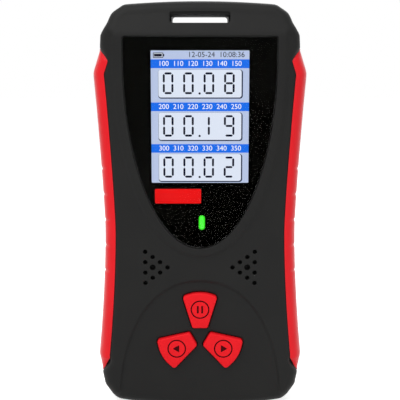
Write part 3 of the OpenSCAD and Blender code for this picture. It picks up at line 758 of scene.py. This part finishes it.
def panel(skin, x, z, w, h, r, slot, y):
    skin.fill(skin.ring(box_loop(x, z, w, h, r), y), slot=slot)


def picture():
    skin = Skin()
    layer = 0.05
    y = screen_y - layer
    panel(skin, 0, screen_z, screen_w + 2, screen_h + 2, 0.2, SKY, y)
    # Status line: a battery sign, then the date and the time
    status_z = screen_z + 23.1
    panel(skin, -15.7, status_z, 3.8, 1.9, 0.2, NAVY, y - layer)
    panel(skin, -15.7, status_z, 3.3, 1.4, 0.1, PALE, y - 2 * layer)
    panel(skin, -15.75, status_z, 2.9, 1.0, 0.1, NAVY, y - 3 * layer)
    panel(skin, -13.6, status_z, 0.4, 0.9, 0.1, NAVY, y - layer)
    number(skin, "12-05-24  10:08:36", 6.1, status_z + 0.15, 2.0, NAVY, y - layer)
    readings = [("00.08", 19.95, 12.55), ("00.19", 3.9, -3.45), ("00.02", -11.85, -19.15)]
    for row, (text, bar_mid, box_mid) in enumerate(readings):
        bar_h = 3.25
        panel(skin, 0, screen_z + bar_mid, screen_w + 2, bar_h, 0.1, BLUE, y - layer)
        caption = "  ".join(str((row + 1) * 100 + 10 * k) for k in range(6))
        number(skin, caption, 0, screen_z + bar_mid, 1.9, WHITE, y - 2 * layer)
        z = screen_z + box_mid
        panel(skin, 0.2, z - 0.2, 31.9, 10.8, 1.1, SHADE, y - layer)
        panel(skin, 0, z, 31.3, 10.3, 0.9, PALE, y - 2 * layer)
        places = (-12.0, -4.35, 3.35, 11.05)
        for digit, x in zip(text.replace(".", ""), places):
            segment_digit(skin, digit, x, z + 0.15, 4.0, 8.1, 0.78, y - 3 * layer)
        skin.fill(skin.ring(ring_loop(-0.15, z - 3.65, 0.42, 14), y - 3 * layer), slot=NAVY)
    tints = [lit("screen_sky", (182, 196, 227), (188, 201, 230)),
             lit("screen_pale", (220, 229, 244), (225, 232, 247)),
             lit("screen_blue", (26, 106, 232), (34, 114, 238)),
             lit("screen_shade", (30, 38, 66), (38, 46, 76)),
             lit("screen_navy", (10, 12, 34), (14, 16, 40)),
             lit("screen_white", (246, 249, 255), (252, 253, 255))]
    piece = skin.build("display_picture", tints)
    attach(piece, "housing")


picture()
dress(["lcd_panel"], finish("screen_glass", (30, 34, 38), (38, 42, 46), 0.1, depth=0.000001))
dress(["lcd_backlight"], finish("white_plastic", (226, 226, 222), (234, 234, 230), 0.5), 0.15)
dress(["lcd_flex"], finish("flex_film", (178, 104, 30), (192, 118, 40), 0.4))

# ---------------------------------------------------------------------------
# Indicator. A green light pipe with a domed end behind the window, on a lamp
# soldered to the board.
# ---------------------------------------------------------------------------


def light_pipe():
    skin = Skin()
    low, high = (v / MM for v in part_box("light_pipe"))
    w, h = high.x - low.x, high.z - low.z
    rings = []
    for a in (20, 45, 70, 90):
        s, c = math.sin(math.radians(a)), math.cos(math.radians(a))
        g = 1.1 * (1 - s)
        loop = box_loop(led_x, led_z, w - 2 * g, h - 2 * g, max(0.05, 1.15 - g), 8)
        rings.append(skin.ring(loop, low.y + 0.7 * (1 - c)))
    rings.append(skin.ring(box_loop(led_x, led_z, w, h, 1.15, 8), high.y))
    skin.stack(rings)
    skin.fill(rings[0])
    skin.fill(rings[-1])
    glow, tree, shader = material("green_pipe")
    place = grain(tree, shader, 500.0, 0.000002)
    drift(tree, place, shader.inputs["Emission Color"], srgb(44, 222, 24), srgb(70, 244, 46), 400.0)
    shader.inputs["Base Color"].default_value = srgb(30, 160, 20)
    shader.inputs["Emission Strength"].default_value = 0.75
    shader.inputs["Roughness"].default_value = 0.2
    piece = skin.build("light_pipe_lens", [glow])
    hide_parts("light_pipe")
    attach(piece, "housing")


light_pipe()

# ---------------------------------------------------------------------------
# Keys. Three red silicone-topped caps with filleted edges, each with a ring
# engraved round its sign. They slide in the front case's openings.
# ---------------------------------------------------------------------------
mark_u = 10.5
ring_r, ring_w, ring_d = 3.4, 0.5, 0.22


def key_red():
    made, tree, shader = material("key_red")
    place = grain(tree, shader, 2400.0, 0.000012, 2.0)
    drift(tree, place, shader.inputs["Base Color"], srgb(246, 24, 34), srgb(252, 32, 42), 150.0)
    drift(tree, place, shader.inputs["Roughness"], 0.42, 0.5, 220.0)
    shader.inputs["Specular IOR Level"].default_value = 0.12
    return made


def key(which):
    skin = Skin()
    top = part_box("key_" + which)[0].y / MM
    fillet = 0.55
    rings = [skin.ring(key_loop(which, -fillet * (1 - math.sin(a))), top + fillet * (1 - math.cos(a)))
             for a in np.linspace(0, math.pi / 2, 5)]
    rings.append(skin.ring(key_loop(which), cavity_y + 0.9))
    skin.stack(rings)
    skin.fill(rings[-1])
    t = math.radians(key_turns[which])
    mx, mz = mark_u * math.sin(t), keypad_z + mark_u * math.cos(t)
    groove = [skin.ring(ring_loop(mx, mz, r, 48), y)
              for r, y in ((ring_r + ring_w / 2, top), (ring_r + ring_w / 2 - 0.05, top + ring_d),
                           (ring_r - ring_w / 2 + 0.05, top + ring_d), (ring_r - ring_w / 2, top))]
    # The ring's groove, walls and floor, is coloured all over in the same dark red as the signs
    skin.stack(groove, slot=1)
    skin.fill(rings[0], [groove[0]])
    skin.fill(groove[-1])
    y = top - 0.02
    if which == "hold":
        for side in (-1, 1):
            skin.fill(skin.ring(box_loop(mx + side * 0.85, mz, 0.7, 2.9, 0.1), y), slot=1)
    else:
        point = -1 if which == "left" else 1
        tri = [(mx + point * 1.55, mz), (mx - point * 0.95, mz + 1.5), (mx - point * 0.95, mz - 1.5)]
        loop = sum((turn(tri[i - 1], tri[i], tri[(i + 1) % 3], 0.12, 3) for i in range(3)), [])
        skin.fill(skin.ring(np.array(loop), y), slot=1)
    # One dark red for the flat signs and for the whole groove of the ring
    dark_mark = finish("key_mark", (66, 8, 12), (78, 12, 16), 0.7)
    dark_mark.node_tree.nodes["Principled BSDF"].inputs["Specular IOR Level"].default_value = 0.05
    red = bpy.data.materials.get("key_red") or key_red()
    piece = skin.build("key_cap_" + which, [red, dark_mark])
    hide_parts("key_" + which)
    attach(piece, which + "_key")


for which in key_turns:
    key(which)

# ---------------------------------------------------------------------------
# Board and what is soldered to it: switches and plungers under the keys, the
# chips, the high-voltage parts, and the steel counter tube in its clips.
# ---------------------------------------------------------------------------
arris = 0.1
board = finish("board_green", (18, 74, 42), (24, 86, 50), 0.45, grit=900.0, depth=0.00002)
dress(["main_board"], board, arris)
chip = finish("chip_black", (26, 26, 28), (34, 34, 36), 0.6)
dress(["processor", "driver_chip", "switch_hold", "switch_left", "switch_right"], chip, arris)
white = bpy.data.materials["white_plastic"]
dress(["plunger_hold", "plunger_left", "plunger_right", "status_led"], white)
tube = finish("tube_steel", (168, 168, 164), (190, 190, 186), 0.28, 1.0, depth=0.000004)
dress(["counter_tube"], tube)
cap = finish("cap_black", (22, 22, 22), (30, 30, 30), 0.5)
dress(["tube_cap_anode", "tube_cap_cathode", "buzzer"], cap)
spring = finish("spring_steel", (150, 150, 148), (176, 176, 172), 0.3, 1.0)
dress(["tube_clip_left", "tube_clip_right"], spring)
dress(["tube_lead"], finish("lead_red", (176, 20, 20), (196, 30, 28), 0.45))
dress(["hv_transformer"], finish("ferrite", (70, 66, 62), (96, 88, 78), 0.7, depth=0.00003), 0.15)
dress(["hv_capacitor"], finish("capacitor_blue", (26, 62, 150), (36, 74, 168), 0.4))
dress(["hv_shield"], finish("tinned_steel", (196, 196, 190), (214, 214, 208), 0.35, 1.0), 0.1)

# ---------------------------------------------------------------------------
# Dust mesh. Black woven cloth glued behind each group of sound holes.
# ---------------------------------------------------------------------------
cloth = finish("mesh_cloth", (6, 6, 6), (22, 22, 22), 0.9, grit=5000.0, depth=0.0001)
dress(["dust_mesh_left", "dust_mesh_right"], cloth)

# ---------------------------------------------------------------------------
# Battery bay. Three wrapped cells between coil springs and tinned contacts.
# ---------------------------------------------------------------------------
wrap = finish("cell_wrap", (44, 74, 116), (54, 86, 130), 0.3)
cell_edge = 0.3
for k in (1, 2, 3):
    dress([f"battery_cell_{k}"], wrap, cell_edge)
    dress([f"battery_spring_{k}", f"battery_contact_{k}"], spring)

# ---------------------------------------------------------------------------
# Battery door. The case's plastic, with thumb grooves near its upper end and
# tongues that run in the rear case's grooves.
# ---------------------------------------------------------------------------
dress(["battery_door"], bpy.data.materials["case_plastic"])

# ---------------------------------------------------------------------------
# Screws. Plated steel, deep in the rear case's corners and in the board.
# ---------------------------------------------------------------------------
screw = finish("screw_steel", (120, 120, 118), (146, 146, 142), 0.35, 1.0)
screw_edge = 0.08
dress(["case_screws", "board_screws"], screw, screw_edge)

# ---------------------------------------------------------------------------
# Studio: a pale floor, soft lamps, and the camera.
# ---------------------------------------------------------------------------


def seen(tree):
    """1 for rays that look at the background directly, in a reflection or through glass."""
    rays = tree.nodes.new("ShaderNodeLightPath")
    either = tree.nodes.new("ShaderNodeMath")
    either.operation = "MAXIMUM"
    total = tree.nodes.new("ShaderNodeMath")
    total.operation = "MAXIMUM"
    tree.links.new(rays.outputs["Is Camera Ray"], either.inputs[0])
    tree.links.new(rays.outputs["Is Glossy Ray"], either.inputs[1])
    tree.links.new(either.outputs["Value"], total.inputs[0])
    tree.links.new(rays.outputs["Is Transmission Ray"], total.inputs[1])
    return total.outputs["Value"]


def studio():
    scene = bpy.context.scene
    scene.view_settings.view_transform = "Standard"
    world = bpy.data.worlds.new("studio_light")
    scene.world = world
    world.use_nodes = True
    tree = world.node_tree
    sky = tree.nodes["Background"]
    level = tree.nodes.new("ShaderNodeMapRange")
    level.inputs["To Min"].default_value = 0.4
    level.inputs["To Max"].default_value = 1.0
    tree.links.new(seen(tree), level.inputs["Value"])
    tree.links.new(level.outputs["Result"], sky.inputs["Strength"])
    sky.inputs["Color"].default_value = (1, 1, 1, 1)
    floor_mesh = bpy.data.meshes.new("floor")
    reach = 6.0
    corners = [(-reach, -reach, 0), (reach, -reach, 0), (reach, reach, 0), (-reach, reach, 0)]
    floor_mesh.from_pydata(corners, [], [(0, 1, 2, 3)])
    floor = bpy.data.objects.new("floor", floor_mesh)
    scene.collection.objects.link(floor)
    made, tree, shader = material("floor_white")
    place = grain(tree, shader, 40.0, 0.00002)
    drift(tree, place, shader.inputs["Base Color"], srgb(236, 236, 236), srgb(240, 240, 240), 3.0)
    shader.inputs["Roughness"].default_value = 0.9
    shader.inputs["Specular IOR Level"].default_value = 0.0
    shader.inputs["Emission Color"].default_value = (1, 1, 1, 1)
    lift = tree.nodes.new("ShaderNodeMapRange")
    lift.inputs["To Max"].default_value = 0.7
    tree.links.new(seen(tree), lift.inputs["Value"])
    tree.links.new(lift.outputs["Result"], shader.inputs["Emission Strength"])
    floor_mesh.materials.append(made)
    middle = Vector((0, 0, 0.0812))
    # Each lamp: its name, its place and width in metres, and its power in watts
    lamps = [("lamp_top", (-0.25, -0.55, 0.95), 0.8, 6.4), ("lamp_front", (0.3, -1.0, 0.35), 0.9, 1.1),
             ("lamp_rear", (0.2, 0.8, 0.7), 0.8, 3.5)]
    for name, spot, size, power in lamps:
        light = bpy.data.lights.new(name, "AREA")
        light.size = size
        light.energy = power
        lamp = bpy.data.objects.new(name, light)
        lamp.location = spot
        lamp.rotation_euler = (Vector(spot) - middle).to_track_quat("Z", "Y").to_euler()
        scene.collection.objects.link(lamp)
    lens = bpy.data.cameras.new("camera")
    focal_length = 70.56
    lens.lens = focal_length
    camera = bpy.data.objects.new("camera", lens)
    tilt, distance = math.radians(8.5), 0.3137
    back = Vector((0, -math.cos(tilt), math.sin(tilt)))
    camera.location = middle + back * distance
    camera.rotation_euler = back.to_track_quat("Z", "Y").to_euler()
    scene.collection.objects.link(camera)
    scene.camera = camera


studio()
